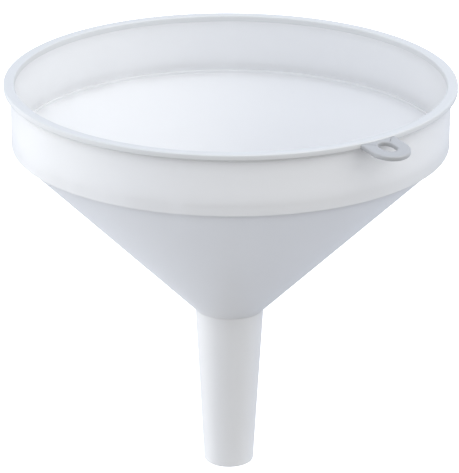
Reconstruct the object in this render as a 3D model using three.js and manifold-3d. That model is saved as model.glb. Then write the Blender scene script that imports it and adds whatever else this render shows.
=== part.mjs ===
// A large filling funnel for canning and bottling, moulded in one piece from white polypropylene.
// Millimetres, +Z up. The origin is on the axis, in the plane of the spout's lower end.
// Every round feature is coaxial. The hanging loop stands out from the rim between -Y and +X.
import * as THREE from 'three';
import { mergeVertices } from 'three/addons/utils/BufferGeometryUtils.js';
import Module from 'manifold-3d';

const manifold = await Module();
manifold.setup();

// ---------------------------------------------------------------- driving dimensions
const MOUTH_RADIUS = 125.0; // to the outside of the rim bead
const FUNNEL_HEIGHT = 227.5; // from the spout's end to the top of the rim
const WALL = 2.4; // of the collar and the cone
const GAP = 0.3; // clearance where a cut solid meets its neighbour

const BEAD_HEIGHT = 3.5;
const BEAD_ROUND = 0.9; // rounding of the bead's edges

const COLLAR_TOP_RADIUS = 121.4; // outside, just under the bead
const COLLAR_FOOT_RADIUS = 121.1; // outside, at the shoulder
const SHOULDER_HEIGHT = 191.8; // underside of the shoulder step
const SHOULDER_THICK = 3.0; // from the underside of the step to the seat inside
const SHOULDER_RISE = 3.0; // height of upright wall that belongs to the shoulder
const SHOULDER_ROUND = 0.8;
const STEP_OUTSIDE = 1.5; // how far the collar's foot overhangs the cone
const SEAT_WIDTH = 1.1; // of the narrow flat seat inside the shoulder

const SPOUT_LENGTH = 93.0; // from the spout's end to the crease where the cone begins
const SPOUT_TOP_RADIUS = 19.2;
const SPOUT_TIP_RADIUS = 14.0;
const SPOUT_WALL = 2.1;
const SPOUT_TIP_ROUND = 1.2;

const LOOP_TURN = 38; // degrees from -Y towards +X
const LOOP_CENTRE = 133.5; // from the axis to the centre of the loop's round end
const LOOP_HALF_WIDTH = 11.2;
const LOOP_THICK = 2.9;
const LOOP_EDGE = 0.8; // rounding of the loop's edges
const LOOP_DROP = 0.9; // from the top of the bead to the top of the loop, at the bead
const LOOP_DROOP = 8; // degrees that the loop slopes down away from the rim
const HOLE_HALF_WIDTH = 4.5;
const HOLE_INNER_CENTRE = 131.4; // from the axis to the centre of the hole's inner round end

const TURNS = 72; // facets round the axis
const ROUND_STEPS = 4; // facets in a small rounding
const LOOP_STEPS = 10; // facets along each round end of the loop

// ---------------------------------------------------------------- derived places
const beadFoot = FUNNEL_HEIGHT - BEAD_HEIGHT;
const collarFoot = SHOULDER_HEIGHT + SHOULDER_THICK + SHOULDER_RISE;
const coneTopRadius = COLLAR_FOOT_RADIUS - STEP_OUTSIDE;
const coneHeight = SHOULDER_HEIGHT - SPOUT_LENGTH;
const coneSpread = (coneTopRadius - SPOUT_TOP_RADIUS) / coneHeight; // radius gained per height
const coneWallAcross = WALL * Math.hypot(1, coneSpread); // the wall, measured level
const boreTopRadius = SPOUT_TOP_RADIUS - SPOUT_WALL;

// The radius of the cone's inner face at a height.
const coneInside = (z) => SPOUT_TOP_RADIUS - coneWallAcross + coneSpread * (z - SPOUT_LENGTH);

// ---------------------------------------------------------------- helpers
const polypropylene = (color) => new THREE.MeshStandardMaterial({ color, roughness: 0.28, metalness: 0 });

// Points of a quarter-round or shorter arc in the radius and height plane, in degrees.
function arc(centreRadius, centreHeight, radius, from, to, steps = ROUND_STEPS) {
  return Array.from({ length: steps + 1 }, (_, i) => {
    const angle = THREE.MathUtils.degToRad(from + ((to - from) * i) / steps);
    return [centreRadius + radius * Math.cos(angle), centreHeight + radius * Math.sin(angle)];
  });
}

// A ring turned from a closed outline of [radius, height] points, anticlockwise.
function turned(name, outline, color) {
  const points = [...outline, outline[0]].map(([radius, height]) => new THREE.Vector2(radius, height));
  const geometry = new THREE.LatheGeometry(points, TURNS);
  geometry.rotateX(Math.PI / 2);
  const mesh = new THREE.Mesh(geometry, polypropylene(color));
  mesh.name = name;
  return mesh;
}

// A closed geometry as a solid that can be cut.
function solidOf(geometry) {
  const bare = geometry.index ? geometry.toNonIndexed() : geometry.clone();
  bare.deleteAttribute('normal');
  bare.deleteAttribute('uv');
  const merged = mergeVertices(bare, 1e-4);
  return new manifold.Manifold(
    new manifold.Mesh({
      numProp: 3,
      vertProperties: new Float32Array(merged.attributes.position.array),
      triVerts: new Uint32Array(merged.index.array),
    }),
  );
}

// A solid as a geometry.
function geometryOf(solid) {
  const { vertProperties, triVerts } = solid.getMesh();
  const geometry = new THREE.BufferGeometry();
  geometry.setAttribute('position', new THREE.BufferAttribute(vertProperties, 3));
  geometry.setIndex(new THREE.BufferAttribute(triVerts, 1));
  geometry.computeVertexNormals();
  return geometry;
}

// ---------------------------------------------------------------- the pieces
// The lip: a flat-topped flange with rounded edges that stiffens the mouth.
function rimBead() {
  const inner = COLLAR_TOP_RADIUS - WALL;
  const top = FUNNEL_HEIGHT - BEAD_ROUND;
  return turned(
    'rim_bead',
    [
      [inner, beadFoot],
      ...arc(MOUTH_RADIUS - BEAD_ROUND, beadFoot + BEAD_ROUND, BEAD_ROUND, -90, 0),
      ...arc(MOUTH_RADIUS - BEAD_ROUND, top, BEAD_ROUND, 0, 90),
      ...arc(inner + BEAD_ROUND, top, BEAD_ROUND, 90, 180),
    ],
    0xdbe2ea,
  );
}

// The upright wall between the lip and the shoulder, with a little draft.
function collarWall() {
  return turned(
    'collar_wall',
    [
      [COLLAR_FOOT_RADIUS - WALL, collarFoot],
      [COLLAR_FOOT_RADIUS, collarFoot],
      [COLLAR_TOP_RADIUS, beadFoot],
      [COLLAR_TOP_RADIUS - WALL, beadFoot],
    ],
    0xdee5ee,
  );
}

// The stepped turn from the collar to the cone, with a narrow seat inside.
function shoulderRing() {
  const inner = COLLAR_FOOT_RADIUS - WALL;
  const seatEdge = inner - SEAT_WIDTH;
  const seat = SHOULDER_HEIGHT + SHOULDER_THICK;
  const coneMeets = SHOULDER_HEIGHT + (seatEdge - coneInside(SHOULDER_HEIGHT)) / coneSpread;
  const soft = SHOULDER_ROUND;
  return turned(
    'shoulder_ring',
    [
      [coneInside(SHOULDER_HEIGHT), SHOULDER_HEIGHT],
      [coneTopRadius, SHOULDER_HEIGHT],
      ...arc(COLLAR_FOOT_RADIUS - soft, SHOULDER_HEIGHT + soft, soft, -90, 0),
      [COLLAR_FOOT_RADIUS, collarFoot],
      [inner, collarFoot],
      [inner, seat],
      [seatEdge, seat],
      [seatEdge, coneMeets],
    ],
    0xd6dde6,
  );
}

// The cone, down to the crease at the spout.
function coneBody() {
  const boreMeets = SPOUT_LENGTH + (boreTopRadius - coneInside(SPOUT_LENGTH)) / coneSpread;
  return turned(
    'cone_body',
    [
      [boreTopRadius, SPOUT_LENGTH],
      [SPOUT_TOP_RADIUS, SPOUT_LENGTH],
      [coneTopRadius, SHOULDER_HEIGHT],
      [coneInside(SHOULDER_HEIGHT), SHOULDER_HEIGHT],
      [boreTopRadius, boreMeets],
    ],
    0xd2dae3,
  );
}

// The tapered spout, open at both ends, with a rounded outer edge at its tip.
function spoutTube() {
  const soft = SPOUT_TIP_ROUND;
  return turned(
    'spout_tube',
    [
      [SPOUT_TIP_RADIUS - SPOUT_WALL, 0],
      ...arc(SPOUT_TIP_RADIUS - soft, soft, soft, -90, 0),
      [SPOUT_TOP_RADIUS, SPOUT_LENGTH],
      [boreTopRadius, SPOUT_LENGTH],
    ],
    0xd8dcdc,
  );
}

// The flat eyelet that the funnel hangs by: straight sides, a round end and a round-ended slot.
function hangingLoop() {
  const edge = LOOP_EDGE;
  const half = LOOP_HALF_WIDTH - edge;
  const root = COLLAR_TOP_RADIUS;
  const plate = new THREE.Shape();
  plate.moveTo(root, -half);
  plate.lineTo(LOOP_CENTRE, -half);
  plate.absarc(LOOP_CENTRE, 0, half, -Math.PI / 2, Math.PI / 2, false);
  plate.lineTo(root, half);
  plate.closePath();

  const slotRadius = HOLE_HALF_WIDTH + edge;
  const slot = new THREE.Path();
  slot.absarc(LOOP_CENTRE, 0, slotRadius, Math.PI / 2, -Math.PI / 2, true);
  slot.absarc(HOLE_INNER_CENTRE, 0, slotRadius, -Math.PI / 2, (-3 * Math.PI) / 2, true);
  slot.closePath();
  plate.holes.push(slot);

  const geometry = new THREE.ExtrudeGeometry(plate, {
    depth: LOOP_THICK - 2 * edge,
    bevelThickness: edge,
    bevelSize: edge,
    bevelSegments: 2,
    curveSegments: LOOP_STEPS,
  });
  // Top face to the height of the rim, sloped about the bead's edge, then turned to its place.
  geometry.translate(-MOUTH_RADIUS, 0, edge - LOOP_THICK);
  geometry.rotateY(THREE.MathUtils.degToRad(LOOP_DROOP));
  geometry.translate(MOUTH_RADIUS, 0, FUNNEL_HEIGHT - LOOP_DROP);

  const clear = new THREE.CylinderGeometry(MOUTH_RADIUS + GAP, MOUTH_RADIUS + GAP, FUNNEL_HEIGHT, 2 * TURNS);
  clear.rotateX(Math.PI / 2);
  clear.translate(0, 0, FUNNEL_HEIGHT);

  const cut = solidOf(geometry).subtract(solidOf(clear));
  const mesh = new THREE.Mesh(geometryOf(cut), polypropylene(0xc3cad2));
  mesh.name = 'hanging_loop';
  mesh.rotation.z = THREE.MathUtils.degToRad(LOOP_TURN - 90);
  return mesh;
}

const funnel = new THREE.Group();
funnel.add(rimBead(), collarWall(), shoulderRing(), coneBody(), spoutTube(), hangingLoop());

export default funnel;
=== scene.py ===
"""A filling funnel moulded in white polypropylene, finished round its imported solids."""

import math

import bmesh
import bpy
from bpy.props import FloatProperty, FloatVectorProperty, IntProperty, PointerProperty
from mathutils import Matrix, Vector


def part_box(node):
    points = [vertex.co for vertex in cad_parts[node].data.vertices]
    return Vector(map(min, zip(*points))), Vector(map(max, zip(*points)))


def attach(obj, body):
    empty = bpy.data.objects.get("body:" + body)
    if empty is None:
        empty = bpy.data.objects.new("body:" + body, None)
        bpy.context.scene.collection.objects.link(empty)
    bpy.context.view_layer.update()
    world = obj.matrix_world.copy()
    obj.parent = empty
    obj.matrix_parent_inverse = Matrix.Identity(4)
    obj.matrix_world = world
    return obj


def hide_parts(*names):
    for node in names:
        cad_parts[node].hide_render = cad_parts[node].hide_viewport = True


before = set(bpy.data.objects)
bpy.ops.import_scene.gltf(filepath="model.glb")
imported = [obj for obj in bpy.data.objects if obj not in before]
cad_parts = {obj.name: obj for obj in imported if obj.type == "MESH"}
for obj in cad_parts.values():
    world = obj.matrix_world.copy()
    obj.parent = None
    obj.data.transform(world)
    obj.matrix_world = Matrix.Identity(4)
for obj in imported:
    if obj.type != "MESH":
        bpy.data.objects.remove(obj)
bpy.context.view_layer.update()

bl_info = {
    "name": "Filling funnel",
    "version": (1, 0, 0),
    "blender": (4, 5, 0),
    "location": "View3D > Sidebar > Funnel",
    "description": "A one-piece funnel with a collar, cone, spout and hanging eyelet, and its studio",
    "category": "Add Mesh",
}

BODY = "root"
MM = 0.001
WELD = 1e-7  # metres: points closer than this are one point


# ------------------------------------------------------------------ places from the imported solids
def outer_radius(node):
    """The largest radius of a round node, to the outside."""
    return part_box(node)[1].x


def heights(node):
    """The lowest and highest level of a node."""
    low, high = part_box(node)
    return low.z, high.z


MOUTH_RADIUS = outer_radius("rim_bead")
BEAD_FOOT, FUNNEL_HEIGHT = heights("rim_bead")
COLLAR_FOOT = heights("collar_wall")[0]
COLLAR_TOP_RADIUS = outer_radius("collar_wall")
COLLAR_FOOT_RADIUS = outer_radius("shoulder_ring")
SHOULDER_HEIGHT = heights("shoulder_ring")[0]
CONE_TOP_RADIUS = outer_radius("cone_body")
SPOUT_LENGTH = heights("spout_tube")[1]
SPOUT_TOP_RADIUS = outer_radius("spout_tube")


# ------------------------------------------------------------------ what a user would change
def linear(hex_colour):
    """An sRGB hex colour as linear red, green, blue and alpha."""
    parts = [int(hex_colour[i : i + 2], 16) / 255 for i in (1, 3, 5)]
    return tuple(c / 12.92 if c <= 0.04045 else ((c + 0.055) / 1.055) ** 2.4 for c in parts) + (1.0,)


class FunnelSizes(bpy.types.PropertyGroup):
    """Sizes of the moulding that its outer box does not already give."""

    wall: FloatProperty(
        name="Wall", description="Thickness of the collar and the cone", default=2.4 * MM, unit="LENGTH"
    )
    bead_round: FloatProperty(
        name="Lip rounding", description="Radius of the lip's edges", default=0.9 * MM, unit="LENGTH"
    )
    shoulder_thick: FloatProperty(
        name="Shoulder",
        description="From the underside of the step to the seat inside",
        default=3.0 * MM,
        unit="LENGTH",
    )
    shoulder_round: FloatProperty(
        name="Shoulder rounding",
        description="Radius of the step's outer edge",
        default=0.8 * MM,
        unit="LENGTH",
    )
    seat_width: FloatProperty(
        name="Seat",
        description="Width of the narrow seat inside the shoulder",
        default=1.1 * MM,
        unit="LENGTH",
    )
    seat_round: FloatProperty(
        name="Seat rounding", description="Radius of the seat's inner edge", default=0.5 * MM, unit="LENGTH"
    )
    spout_tip_radius: FloatProperty(
        name="Spout tip",
        description="Outer radius of the spout at its end",
        default=14.0 * MM,
        unit="LENGTH",
    )
    spout_wall: FloatProperty(
        name="Spout wall", description="Thickness of the spout", default=2.1 * MM, unit="LENGTH"
    )
    spout_tip_round: FloatProperty(
        name="Tip rounding",
        description="Radius of the spout's lower outer edge",
        default=1.2 * MM,
        unit="LENGTH",
    )
    loop_turn: FloatProperty(
        name="Eyelet turn",
        description="Direction of the eyelet, from -Y towards +X",
        default=math.radians(38.4),
        subtype="ANGLE",
    )
    loop_centre: FloatProperty(
        name="Eyelet centre",
        description="From the axis to the middle of the round end",
        default=134.0 * MM,
        unit="LENGTH",
    )
    loop_half_width: FloatProperty(
        name="Eyelet half width", description="Half the width across", default=11.5 * MM, unit="LENGTH"
    )
    loop_thick: FloatProperty(
        name="Eyelet thickness", description="Thickness of the plate", default=2.9 * MM, unit="LENGTH"
    )
    loop_edge: FloatProperty(
        name="Eyelet edge", description="Radius of its edges", default=0.9 * MM, unit="LENGTH"
    )
    loop_drop: FloatProperty(
        name="Eyelet drop",
        description="From the top of the lip to the top of the eyelet",
        default=0.9 * MM,
        unit="LENGTH",
    )
    loop_droop: FloatProperty(
        name="Eyelet slope",
        description="How far it slopes down from the rim",
        default=math.radians(8),
        subtype="ANGLE",
    )
    hole_half_width: FloatProperty(
        name="Slot half width", description="Half the width of the slot", default=4.5 * MM, unit="LENGTH"
    )
    hole_inner_centre: FloatProperty(
        name="Slot inner centre",
        description="From the axis to the middle of the slot's inner round end",
        default=131.4 * MM,
        unit="LENGTH",
    )
    root_fillet: FloatProperty(
        name="Root fillet",
        description="Radius where the eyelet grows out of the lip",
        default=1.0 * MM,
        unit="LENGTH",
    )
    facets: IntProperty(name="Facets", description="Facets round the axis", default=240, min=12)
    round_steps: IntProperty(
        name="Rounding steps", description="Facets in a quarter turn of an edge", default=6, min=1
    )


class FunnelFinish(bpy.types.PropertyGroup):
    """Colours, gloss and cloudiness of the plastic, with painted shade in the lip and eyelet colours, and
    the studio's light.
    """

    wall_colour: FloatVectorProperty(
        name="Walls",
        description="Plastic in the thin walls",
        subtype="COLOR",
        default=linear("#ECECEC")[:3],
        min=0,
        max=1,
    )
    # Darker than the walls: painted shade for the lip, on top of the lower share of light through it.
    lip_colour_painted_shade: FloatVectorProperty(
        name="Lip",
        description="Plastic in the thick lip",
        subtype="COLOR",
        default=linear("#CCCDCD")[:3],
        min=0,
        max=1,
    )
    # Much darker than the walls: painted shade for the eyelet, which has no light behind it.
    eyelet_colour_painted_shade: FloatVectorProperty(
        name="Eyelet",
        description="Plastic in the solid eyelet",
        subtype="COLOR",
        default=linear("#A7A8A9")[:3],
        min=0,
        max=1,
    )
    light_through: FloatProperty(
        name="Light through",
        description="Share of light that passes through a thin wall",
        default=0.3,
        min=0,
        max=1,
    )
    roughness_least: FloatProperty(
        name="Roughness, least", description="Where the skin is glossiest", default=0.29, min=0, max=1
    )
    roughness_most: FloatProperty(
        name="Roughness, most", description="Where handling has dulled the skin", default=0.35, min=0, max=1
    )
    skin_waves: FloatProperty(
        name="Skin waves",
        description="Depth of the broad waves in the skin",
        default=0.05 * MM,
        unit="LENGTH",
    )
    studio_light: FloatProperty(
        name="Studio light", description="Brightness of the surroundings", default=1.15, min=0
    )


# ------------------------------------------------------------------ materials
def add(tree, kind, values=None, links=None, **settings):
    """Adds a node to a tree, with its settings, its input values and its links."""
    node = tree.nodes.new(kind)
    for name, value in settings.items():
        setattr(node, name, value)
    for name, value in (values or {}).items():
        node.inputs[name].default_value = value
    for name, socket in (links or {}).items():
        tree.links.new(socket, node.inputs[name])
    return node


POLYPROPYLENE_IOR = 1.49
WAVE_WIDTH = 100 * MM  # across one of the broad waves that cooling leaves in the skin
DULL_WIDTH = 20 * MM  # across one of the soft patches that handling has dulled
NOISE_LOW, NOISE_HIGH = 0.3, 0.7  # a noise pattern seldom goes past these
CLOUDY = 0.987  # brightness of the cloudiest plastic against the clearest
LIP_LIGHT_THROUGH = 0.05
EYELET_LIGHT_THROUGH = 0.0


def moulded_polypropylene(section, let_through, colour):
    """Natural white polypropylene, injection moulded in a polished tool.

    It has a soft, slightly waxy gloss. A thin wall lets much of the light through, and a thick section
    little, so it looks greyer; the colours given for the lip and the eyelet are also darkened as painted
    shade.
    It carries the faint unevenness of a large cooled moulding and the soft dulling that comes from
    handling.
    """
    name = f"Moulded polypropylene, natural white, {section}"
    found = bpy.data.materials.get(name)
    if found:
        return found
    finish = bpy.context.scene.funnel_finish
    material = bpy.data.materials.new(name)
    material.use_nodes = True
    tree = material.node_tree
    tree.nodes.clear()
    place = add(tree, "ShaderNodeTexCoord").outputs["Object"]

    # Cooling leaves broad, shallow waves in the skin and a little cloudiness.
    waves = add(
        tree,
        "ShaderNodeTexNoise",
        {"Scale": 1 / WAVE_WIDTH, "Detail": 1.0, "Roughness": 0.4},
        {"Vector": place},
    ).outputs["Fac"]
    # Handling dulls the gloss in soft patches. The default range starts at 0.29, because a range of
    # 0.26 to 0.28 gives hard-edged patches.
    patches = add(
        tree,
        "ShaderNodeTexNoise",
        {"Scale": 1 / DULL_WIDTH, "Detail": 2.0, "Roughness": 0.5},
        {"Vector": place},
    ).outputs["Fac"]
    gloss = add(
        tree,
        "ShaderNodeMapRange",
        {
            "From Min": NOISE_LOW,
            "From Max": NOISE_HIGH,
            "To Min": finish.roughness_least,
            "To Max": finish.roughness_most,
        },
        {"Value": patches},
    ).outputs["Result"]
    skin = add(
        tree, "ShaderNodeBump", {"Strength": 1.0, "Distance": finish.skin_waves}, {"Height": waves}
    ).outputs["Normal"]
    tint = add(tree, "ShaderNodeValToRGB", links={"Fac": waves})
    for stop, position, share in zip(tint.color_ramp.elements, (NOISE_LOW, NOISE_HIGH), (CLOUDY, 1.0)):
        stop.position, stop.color = position, [share * c for c in colour] + [1.0]
    surface = add(
        tree,
        "ShaderNodeBsdfPrincipled",
        {"IOR": POLYPROPYLENE_IOR, "Metallic": 0.0},
        {"Base Color": tint.outputs["Color"], "Roughness": gloss, "Normal": skin},
    )
    through = add(tree, "ShaderNodeBsdfTranslucent", {"Color": [*colour, 1.0]}, {"Normal": skin})
    both = add(tree, "ShaderNodeMixShader", {"Fac": let_through})
    tree.links.new(surface.outputs["BSDF"], both.inputs[1])
    tree.links.new(through.outputs["BSDF"], both.inputs[2])
    add(tree, "ShaderNodeOutputMaterial", links={"Surface": both.outputs["Shader"]})
    return material


def thin_wall():
    """The plastic as it looks in the 2 mm walls."""
    finish = bpy.context.scene.funnel_finish
    return moulded_polypropylene("thin wall", finish.light_through, finish.wall_colour)


def thick_lip_painted_shade():
    """The plastic as it looks in the 6 mm lip, its colour darkened as painted shade."""
    finish = bpy.context.scene.funnel_finish
    return moulded_polypropylene("thick lip", LIP_LIGHT_THROUGH, finish.lip_colour_painted_shade)


def solid_plate_painted_shade():
    """The plastic as it looks in the solid eyelet, with no light behind it, its colour darkened as painted
    shade.
    """
    finish = bpy.context.scene.funnel_finish
    return moulded_polypropylene("solid plate", EYELET_LIGHT_THROUGH, finish.eyelet_colour_painted_shade)


# ------------------------------------------------------------------ making meshes
def arc(centre, radius, start, end, steps):
    """Points along a circular arc, in degrees, anticlockwise when end is above start."""
    angles = [math.radians(start + (end - start) * i / steps) for i in range(steps + 1)]
    return [(centre[0] + radius * math.cos(a), centre[1] + radius * math.sin(a)) for a in angles]


TURNED_CREASE = math.radians(28)  # a bend sharper than this is a crease


def turning_tree():
    """A tree that turns a closed outline in the XZ plane round the Z axis."""
    name = "Turn an outline"
    found = bpy.data.node_groups.get(name)
    if found:
        return found
    tree = bpy.data.node_groups.new(name, "GeometryNodeTree")
    for label, kind, way in (
        ("Outline", "NodeSocketGeometry", "INPUT"),
        ("Facets round the axis", "NodeSocketInt", "INPUT"),
        ("Crease angle", "NodeSocketFloat", "INPUT"),
        ("Weld distance", "NodeSocketFloat", "INPUT"),
        ("Material", "NodeSocketMaterial", "INPUT"),
        ("Turned", "NodeSocketGeometry", "OUTPUT"),
    ):
        tree.interface.new_socket(name=label, in_out=way, socket_type=kind)
    given = add(tree, "NodeGroupInput").outputs

    # A flat sheet, one row for each facet and one column for each point of the outline.
    points = add(
        tree, "GeometryNodeAttributeDomainSize", links={"Geometry": given["Outline"]}, component="MESH"
    ).outputs["Point Count"]
    facets = given["Facets round the axis"]
    rows = add(tree, "ShaderNodeMath", {1: 1.0}, {0: facets}, operation="ADD").outputs[0]
    columns = add(tree, "ShaderNodeMath", {1: 1.0}, {0: points}, operation="ADD").outputs[0]
    sheet = add(
        tree,
        "GeometryNodeMeshGrid",
        {"Size X": 1.0, "Size Y": 1.0},
        {"Vertices X": rows, "Vertices Y": columns},
    ).outputs["Mesh"]

    # Each point of the sheet takes its place from the outline, turned by its share of a full turn.
    spot = add(tree, "GeometryNodeInputPosition").outputs["Position"]
    here = add(tree, "ShaderNodeSeparateXYZ", links={"Vector": spot}).outputs
    turn = add(
        tree, "ShaderNodeMath", {1: math.tau, 2: math.pi}, {0: here["X"]}, operation="MULTIPLY_ADD"
    ).outputs[0]
    share = add(tree, "ShaderNodeMath", {1: 0.5}, {0: here["Y"]}, operation="ADD").outputs[0]
    along = add(tree, "ShaderNodeMath", links={0: share, 1: points}, operation="MULTIPLY").outputs[0]
    whole = add(tree, "ShaderNodeMath", links={0: along}, operation="ROUND").outputs[0]
    which = add(tree, "ShaderNodeMath", links={0: whole, 1: points}, operation="MODULO").outputs[0]
    outline = add(tree, "GeometryNodeInputPosition").outputs["Position"]
    taken = add(
        tree,
        "GeometryNodeSampleIndex",
        links={"Geometry": given["Outline"], "Value": outline, "Index": which},
        data_type="FLOAT_VECTOR",
        domain="POINT",
    ).outputs["Value"]
    turned = add(
        tree, "ShaderNodeVectorRotate", links={"Vector": taken, "Angle": turn}, rotation_type="Z_AXIS"
    ).outputs["Vector"]
    placed = add(
        tree, "GeometryNodeSetPosition", links={"Geometry": sheet, "Position": turned}
    ).outputs["Geometry"]
    closed = add(
        tree, "GeometryNodeMergeByDistance", links={"Geometry": placed, "Distance": given["Weld distance"]}
    ).outputs["Geometry"]

    # Smooth, but for the true creases.
    smooth = add(
        tree, "GeometryNodeSetShadeSmooth", {"Shade Smooth": True}, {"Geometry": closed}, domain="FACE"
    ).outputs["Geometry"]
    bend = add(tree, "GeometryNodeInputMeshEdgeAngle").outputs["Unsigned Angle"]
    limit = given["Crease angle"]
    crease = add(tree, "ShaderNodeMath", links={0: bend, 1: limit}, operation="GREATER_THAN").outputs[0]
    shaded = add(
        tree,
        "GeometryNodeSetShadeSmooth",
        {"Shade Smooth": False},
        {"Geometry": smooth, "Selection": crease},
        domain="EDGE",
    ).outputs["Geometry"]
    real = add(tree, "GeometryNodeRealizeInstances", links={"Geometry": shaded}).outputs["Geometry"]
    finished = add(
        tree, "GeometryNodeSetMaterial", links={"Geometry": real, "Material": given["Material"]}
    ).outputs["Geometry"]
    add(tree, "NodeGroupOutput", links={"Turned": finished})
    return tree


def outward(mesh):
    """Turns every face of a closed mesh outwards."""
    work = bmesh.new()
    work.from_mesh(mesh)
    bmesh.ops.recalc_face_normals(work, faces=work.faces)
    work.to_mesh(mesh)
    work.free()


def finished_piece(name, mesh, *nodes):
    """Puts a finished mesh in the scene as a piece that rides on the funnel and stands for its solids."""
    mesh.name = name
    piece = bpy.data.objects.new(name, mesh)
    bpy.context.scene.collection.objects.link(piece)
    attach(piece, BODY)
    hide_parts(*nodes)


def turned_piece(name, outline, plastic, *nodes):
    """Makes a piece by turning a closed outline of (radius, height) points, anticlockwise."""
    sizes = bpy.context.scene.funnel_sizes
    wire = bpy.data.meshes.new(name + "_outline")
    count = len(outline)
    edges = [(i, (i + 1) % count) for i in range(count)]
    wire.from_pydata([(r, 0.0, z) for r, z in outline], edges, [])
    maker = bpy.data.objects.new(name + "_outline", wire)
    bpy.context.scene.collection.objects.link(maker)
    tree = turning_tree()
    modifier = maker.modifiers.new("Turned", "NODES")
    modifier.node_group = tree
    values = {
        "Facets round the axis": sizes.facets,
        "Crease angle": TURNED_CREASE,
        "Weld distance": WELD,
        "Material": plastic,
    }
    for item in tree.interface.items_tree:
        if item.name in values:
            modifier[item.identifier] = values[item.name]
    shape = maker.evaluated_get(bpy.context.evaluated_depsgraph_get())
    mesh = bpy.data.meshes.new_from_object(shape)
    maker.modifiers.remove(modifier)
    bpy.data.objects.remove(maker)
    bpy.data.meshes.remove(wire)
    if not mesh.polygons:
        raise RuntimeError(f"{name}: the outline gave no faces")
    outward(mesh)
    finished_piece(name, mesh, *nodes)


# How much radius the cone gains for each length of height.
CONE_SPREAD = (CONE_TOP_RADIUS - SPOUT_TOP_RADIUS) / (SHOULDER_HEIGHT - SPOUT_LENGTH)


def cone_inside(sizes, height):
    """Radius of the cone's inner face at a height."""
    wall_across = sizes.wall * math.hypot(1, CONE_SPREAD)
    return SPOUT_TOP_RADIUS - wall_across + CONE_SPREAD * (height - SPOUT_LENGTH)


def cone_height_at(sizes, radius):
    """Height at which the cone's inner face has a radius."""
    return SPOUT_LENGTH + (radius - cone_inside(sizes, SPOUT_LENGTH)) / CONE_SPREAD


# ------------------------------------------------------------------ the pieces
class FUNNEL_OT_rim_bead(bpy.types.Operator):
    """Make the flat-topped lip that stiffens the mouth"""

    bl_idname = "funnel.rim_bead"
    bl_label = "Rim lip"

    def execute(self, context):
        sizes = context.scene.funnel_sizes
        inner, soft, steps = COLLAR_TOP_RADIUS - sizes.wall, sizes.bead_round, sizes.round_steps
        outline = [(inner, BEAD_FOOT)]
        outline += arc((MOUTH_RADIUS - soft, BEAD_FOOT + soft), soft, -90, 0, steps)
        outline += arc((MOUTH_RADIUS - soft, FUNNEL_HEIGHT - soft), soft, 0, 90, steps)
        outline += arc((inner + soft, FUNNEL_HEIGHT - soft), soft, 90, 180, steps)
        turned_piece("rim_lip", outline, thick_lip_painted_shade(), "rim_bead")
        return {"FINISHED"}


class FUNNEL_OT_collar_wall(bpy.types.Operator):
    """Make the upright wall below the lip"""

    bl_idname = "funnel.collar_wall"
    bl_label = "Collar"

    def execute(self, context):
        wall = context.scene.funnel_sizes.wall
        outline = [
            (COLLAR_FOOT_RADIUS - wall, COLLAR_FOOT),
            (COLLAR_FOOT_RADIUS, COLLAR_FOOT),
            (COLLAR_TOP_RADIUS, BEAD_FOOT),
            (COLLAR_TOP_RADIUS - wall, BEAD_FOOT),
        ]
        turned_piece("collar", outline, thin_wall(), "collar_wall")
        return {"FINISHED"}


class FUNNEL_OT_shoulder_ring(bpy.types.Operator):
    """Make the stepped turn from the collar to the cone"""

    bl_idname = "funnel.shoulder_ring"
    bl_label = "Shoulder"

    def execute(self, context):
        sizes = context.scene.funnel_sizes
        steps = sizes.round_steps
        inner = COLLAR_FOOT_RADIUS - sizes.wall
        seat_edge = inner - sizes.seat_width
        seat = SHOULDER_HEIGHT + sizes.shoulder_thick
        soft, lip = sizes.shoulder_round, sizes.seat_round
        outline = [(cone_inside(sizes, SHOULDER_HEIGHT), SHOULDER_HEIGHT)]
        outline += [(CONE_TOP_RADIUS, SHOULDER_HEIGHT)]
        outline += arc((COLLAR_FOOT_RADIUS - soft, SHOULDER_HEIGHT + soft), soft, -90, 0, steps)
        outline += [(COLLAR_FOOT_RADIUS, COLLAR_FOOT), (inner, COLLAR_FOOT), (inner, seat)]
        outline += arc((seat_edge + lip, seat - lip), lip, 90, 180, steps)
        outline += [(seat_edge, cone_height_at(sizes, seat_edge))]
        turned_piece("shoulder", outline, thin_wall(), "shoulder_ring")
        return {"FINISHED"}


class FUNNEL_OT_cone_body(bpy.types.Operator):
    """Make the cone, down to the crease at the spout"""

    bl_idname = "funnel.cone_body"
    bl_label = "Cone"

    def execute(self, context):
        sizes = context.scene.funnel_sizes
        bore = SPOUT_TOP_RADIUS - sizes.spout_wall
        outline = [
            (bore, SPOUT_LENGTH),
            (SPOUT_TOP_RADIUS, SPOUT_LENGTH),
            (CONE_TOP_RADIUS, SHOULDER_HEIGHT),
            (cone_inside(sizes, SHOULDER_HEIGHT), SHOULDER_HEIGHT),
            (bore, cone_height_at(sizes, bore)),
        ]
        turned_piece("cone", outline, thin_wall(), "cone_body")
        return {"FINISHED"}


class FUNNEL_OT_spout_tube(bpy.types.Operator):
    """Make the tapered spout, open at both ends"""

    bl_idname = "funnel.spout_tube"
    bl_label = "Spout"

    def execute(self, context):
        sizes = context.scene.funnel_sizes
        soft, tip = sizes.spout_tip_round, sizes.spout_tip_radius
        outline = [(tip - sizes.spout_wall, 0.0)]
        outline += arc((tip - soft, soft), soft, -90, 0, sizes.round_steps)
        outline += [(SPOUT_TOP_RADIUS, SPOUT_LENGTH), (SPOUT_TOP_RADIUS - sizes.spout_wall, SPOUT_LENGTH)]
        turned_piece("spout", outline, thin_wall(), "spout_tube")
        return {"FINISHED"}


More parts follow.
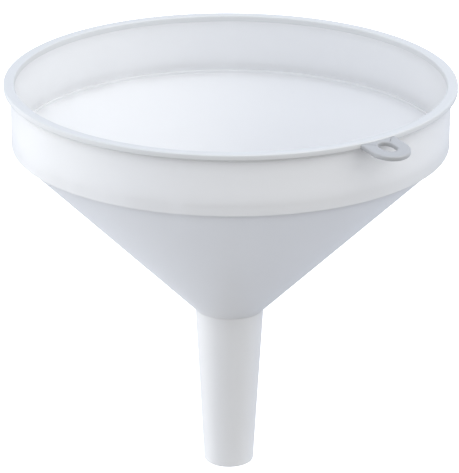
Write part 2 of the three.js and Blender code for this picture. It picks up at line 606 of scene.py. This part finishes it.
class FUNNEL_OT_hanging_loop(bpy.types.Operator):
    """Make the sloping eyelet that grows out of the lip"""

    bl_idname = "funnel.hanging_loop"
    bl_label = "Hanging eyelet"

    def execute(self, context):
        sizes = context.scene.funnel_sizes
        outer = eyelet_outline(sizes)
        hole = slot_outline(sizes, outer)
        mesh = eyelet_mesh(sizes, outer, hole)
        mesh.materials.append(solid_plate_painted_shade())
        finished_piece("hanging_eyelet", mesh, "hanging_loop")
        return {"FINISHED"}


EYELET_POINTS = 144  # round the eyelet's plan
ROOT_STEPS = 24  # along the part that lies in the lip
FILLET_STEPS = 8
END_STEPS = 32  # along the round end
EYELET_CREASE = math.radians(40)
BURIED = 2.4 * MM  # how far the eyelet's root reaches into the lip
SEARCH_REACH = 50 * MM  # farther than any point of the slot's edge from its middle
SEARCH_HALVINGS = 40


def resampled(path, count):
    """A closed path of 2D points as evenly spaced points."""
    points = [Vector(p) for p in path]
    points = [p for i, p in enumerate(points) if (p - points[i - 1]).length > WELD]
    lengths = [(points[(i + 1) % len(points)] - p).length for i, p in enumerate(points)]
    total, spaced, at, left = sum(lengths), [], 0, 0.0
    for i in range(count):
        want = total * i / count
        while left + lengths[at] < want:
            left += lengths[at]
            at += 1
        start, end = points[at], points[(at + 1) % len(points)]
        spaced.append(start.lerp(end, (want - left) / lengths[at]))
    return spaced


def normals(loop):
    """The outward normal at each point of an anticlockwise closed loop."""
    out = []
    for i, p in enumerate(loop):
        way = (loop[(i + 1) % len(loop)] - loop[i - 1]).normalized()
        out.append(Vector((way.y, -way.x)))
    return out


def eyelet_outline(sizes):
    """The eyelet's plan, anticlockwise: along the lip, filleted into straight sides and a round end."""
    lip, half, fillet = MOUTH_RADIUS - BURIED, sizes.loop_half_width, sizes.root_fillet
    # The fillet touches the lip's circle and the straight side.
    across = half + fillet
    out = math.sqrt((MOUTH_RADIUS + fillet) ** 2 - across**2)
    touch = math.degrees(math.atan2(across, out))
    path = arc((0, 0), lip, touch, -touch, ROOT_STEPS)
    path += arc((out, -across), fillet, 180 - touch, 90, FILLET_STEPS)
    path += arc((sizes.loop_centre, 0), half, -90, 90, END_STEPS)
    path += arc((out, across), fillet, -90, touch - 180, FILLET_STEPS)
    return resampled(path, EYELET_POINTS)


def slot_outline(sizes, outer):
    """The slot's plan, with one point for each point of the eyelet's plan."""
    radius = sizes.hole_half_width
    inner, end = Vector((sizes.hole_inner_centre, 0)), Vector((sizes.loop_centre, 0))
    middle = (inner + end) / 2
    out = []
    for p in outer:
        way = (p - middle).normalized()
        # Where the slot's edge lies in that direction, found by halving.
        low, high = 0.0, SEARCH_REACH
        for _ in range(SEARCH_HALVINGS):
            half = (low + high) / 2
            q = middle + way * half
            near = min(max(q.x, inner.x), end.x)
            if (q - Vector((near, 0))).length < radius:
                low = half
            else:
                high = half
        out.append(middle + way * low)
    return out


def eyelet_mesh(sizes, outer, hole):
    """A ring of rounded sections between the eyelet's edge and the slot's edge.

    Some of its faces cross one another between the root's two corners and the slot.
    """
    edge, thick, steps = sizes.loop_edge, sizes.loop_thick, sizes.round_steps
    outer_ways, hole_ways = normals(outer), normals(hole)
    corners = arc((0, 0), edge, 0, 90, steps)
    top_at_rim = Matrix.Translation((MOUTH_RADIUS, 0, FUNNEL_HEIGHT - sizes.loop_drop))
    slope = top_at_rim @ Matrix.Rotation(sizes.loop_droop, 4, "Y")
    turn = Matrix.Rotation(sizes.loop_turn - math.pi / 2, 4, "Z")
    place = turn @ slope
    work = bmesh.new()
    sections = []
    for p, n, q, m in zip(outer, outer_ways, hole, hole_ways):
        section = []
        for base, way in ((p, -n), (q, m)):
            top = [(base + way * (edge - x), -edge + y) for x, y in corners]
            low = [(flat, -thick - depth) for flat, depth in reversed(top)]
            side = low + top if base is p else [*reversed(top), *reversed(low)]
            section += side
        spots = [Vector((flat.x - MOUTH_RADIUS, flat.y, z)) for flat, z in section]
        sections.append([work.verts.new(place @ spot) for spot in spots])
    count = len(sections[0])
    for i, section in enumerate(sections):
        following = sections[(i + 1) % len(sections)]
        for j in range(count):
            k = (j + 1) % count
            work.faces.new((section[j], following[j], following[k], section[k]))
    bmesh.ops.recalc_face_normals(work, faces=work.faces)
    mesh = bpy.data.meshes.new("hanging_eyelet")
    work.to_mesh(mesh)
    work.free()
    mesh.shade_smooth()
    mesh.set_sharp_from_angle(angle=EYELET_CREASE)
    return mesh


# ------------------------------------------------------------------ the studio
TARGET = Vector((-0.218, 0, 135.27)) * MM
CAMERA_DISTANCE = 2.0
CAMERA_ELEVATION = math.radians(20.73)
CAMERA_ROLL = math.radians(0.30)
LENS = 272.2  # millimetres
SENSOR_WIDTH = 36.0  # millimetres
FLOOR_REACH = 30.0  # metres from the middle to each edge
PAPER_GLOW = 0.75
ROOM_COLOUR = "#D8E0F0"
WARM_WHITE = "#FFFCF2"
# The soft sources, as azimuth, elevation and strength: a large one level with the funnel on the left,
# one high on the right, and a weak one in front.
GLOWS = ((170, 0, 1.3), (-20, 40, 1.0), (-90, 35, 0.4))
GLOW_REACH = 60  # degrees from the middle of a soft source to where it has faded out
DARK_COLOUR = "#807868"
DARK_WAY = (-75, -35)  # azimuth and elevation of the dark place
DARK_INNER = 25  # degrees from its middle to where it starts to fade
DARK_REACH = 60  # degrees from its middle to where it has faded out


def aimed(position, target, roll=0.0):
    """A placement at a position, looking along -Z at a target."""
    way = (Vector(target) - Vector(position)).normalized()
    turn = way.to_track_quat("-Z", "Y").to_matrix().to_4x4()
    return Matrix.Translation(position) @ turn @ Matrix.Rotation(roll, 4, "Z")


class FUNNEL_OT_stage(bpy.types.Operator):
    """Set up the pale floor, the soft lights and the camera"""

    bl_idname = "funnel.stage"
    bl_label = "Studio"

    def execute(self, context):
        scene = context.scene
        scene.view_settings.view_transform = "Standard"
        make_floor()
        make_surroundings(scene)

        data = bpy.data.cameras.new("Camera")
        data.lens, data.sensor_width = LENS, SENSOR_WIDTH
        camera = bpy.data.objects.new("Camera", data)
        scene.collection.objects.link(camera)
        back = Vector((0, -math.cos(CAMERA_ELEVATION), math.sin(CAMERA_ELEVATION)))
        camera.matrix_world = aimed(TARGET + back * CAMERA_DISTANCE, TARGET, CAMERA_ROLL)
        scene.camera = camera
        return {"FINISHED"}


def make_floor():
    """A plain pale floor, lit evenly enough to read as white."""
    mesh = bpy.data.meshes.new("floor")
    corners = [(x * FLOOR_REACH, y * FLOOR_REACH, 0) for x, y in ((-1, -1), (1, -1), (1, 1), (-1, 1))]
    mesh.from_pydata(corners, [], [(0, 1, 2, 3)])
    material = bpy.data.materials.new("Seamless studio paper, white")
    material.use_nodes = True
    tree = material.node_tree
    tree.nodes.clear()
    paper = add(
        tree,
        "ShaderNodeBsdfPrincipled",
        {
            "Base Color": linear("#F4F5F6"),
            "Roughness": 0.9,
            "Emission Color": linear("#FFFFFF"),
            "Emission Strength": PAPER_GLOW,
        },
    )
    add(tree, "ShaderNodeOutputMaterial", links={"Surface": paper.outputs["BSDF"]})
    mesh.materials.append(material)
    floor = bpy.data.objects.new("floor", mesh)
    bpy.context.scene.collection.objects.link(floor)
    floor.visible_diffuse = False
    floor.visible_glossy = False
    floor.visible_shadow = False
    floor.visible_transmission = False


def toward(azimuth, elevation):
    """A unit direction from two angles in degrees, the azimuth from +X towards +Y."""
    turn, rise = math.radians(azimuth), math.radians(elevation)
    return Vector((math.cos(rise) * math.cos(turn), math.cos(rise) * math.sin(turn), math.sin(rise)))


def patch(tree, way, centre, inner, outer, fade):
    """A soft round patch of the surroundings: 1 inside the inner angle, fading to 0 at the outer one."""
    facing = add(
        tree, "ShaderNodeVectorMath", {1: centre}, {0: way}, operation="DOT_PRODUCT"
    ).outputs["Value"]
    ends = {"From Min": math.cos(math.radians(outer)), "From Max": math.cos(math.radians(inner))}
    ramp = add(tree, "ShaderNodeMapRange", ends, {"Value": facing}, interpolation_type=fade)
    return ramp.outputs["Result"]


def make_surroundings(scene):
    """A pale, slightly blue room: soft sources left, right and in front, and a dark place low in front."""
    world = bpy.data.worlds.new("Studio")
    scene.world = world
    world.use_nodes = True
    tree = world.node_tree
    tree.nodes.clear()
    way = add(tree, "ShaderNodeTexCoord").outputs["Generated"]
    dark = patch(tree, way, toward(*DARK_WAY), DARK_INNER, DARK_REACH, "LINEAR")
    colours = {"A": linear(ROOM_COLOUR), "B": linear(DARK_COLOUR)}
    room = add(tree, "ShaderNodeMix", colours, {"Factor": dark}, data_type="RGBA")
    light = room.outputs["Result"]
    for azimuth, elevation, strength in GLOWS:
        glow = add(
            tree,
            "ShaderNodeVectorMath",
            {0: [strength * c for c in linear(WARM_WHITE)[:3]]},
            {"Scale": patch(tree, way, toward(azimuth, elevation), 0, GLOW_REACH, "SMOOTHSTEP")},
            operation="SCALE",
        ).outputs["Vector"]
        light = add(
            tree, "ShaderNodeVectorMath", links={0: light, 1: glow}, operation="ADD"
        ).outputs["Vector"]
    strength = scene.funnel_finish.studio_light
    sky = add(tree, "ShaderNodeBackground", {"Strength": strength}, {"Color": light})
    add(tree, "ShaderNodeOutputWorld", links={"Surface": sky.outputs["Background"]})


# ------------------------------------------------------------------ panel and registration
STEPS = (
    FUNNEL_OT_rim_bead,
    FUNNEL_OT_collar_wall,
    FUNNEL_OT_shoulder_ring,
    FUNNEL_OT_cone_body,
    FUNNEL_OT_spout_tube,
    FUNNEL_OT_hanging_loop,
    FUNNEL_OT_stage,
)


class FUNNEL_PT_panel(bpy.types.Panel):
    """Sizes, finish and making of the funnel"""

    bl_label = "Filling funnel"
    bl_idname = "FUNNEL_PT_panel"
    bl_space_type = "VIEW_3D"
    bl_region_type = "UI"
    bl_category = "Funnel"

    def draw(self, context):
        for group in (context.scene.funnel_sizes, context.scene.funnel_finish):
            box = self.layout.box()
            for name in group.__annotations__:
                box.prop(group, name)
        for step in STEPS:
            self.layout.operator(step.bl_idname)


CLASSES = (FunnelSizes, FunnelFinish, *STEPS, FUNNEL_PT_panel)


def register():
    """Registers the classes and hangs the sizes and the finish on the scene."""
    for cls in CLASSES:
        bpy.utils.register_class(cls)
    bpy.types.Scene.funnel_sizes = PointerProperty(type=FunnelSizes)
    bpy.types.Scene.funnel_finish = PointerProperty(type=FunnelFinish)


def unregister():
    """Undoes what register does."""
    del bpy.types.Scene.funnel_finish
    del bpy.types.Scene.funnel_sizes
    for cls in reversed(CLASSES):
        bpy.utils.unregister_class(cls)


def main():
    """Makes the funnel and its studio."""
    register()
    for step in STEPS:
        group, name = step.bl_idname.split(".")
        getattr(getattr(bpy.ops, group), name)()


if __name__ == "__main__":
    main()
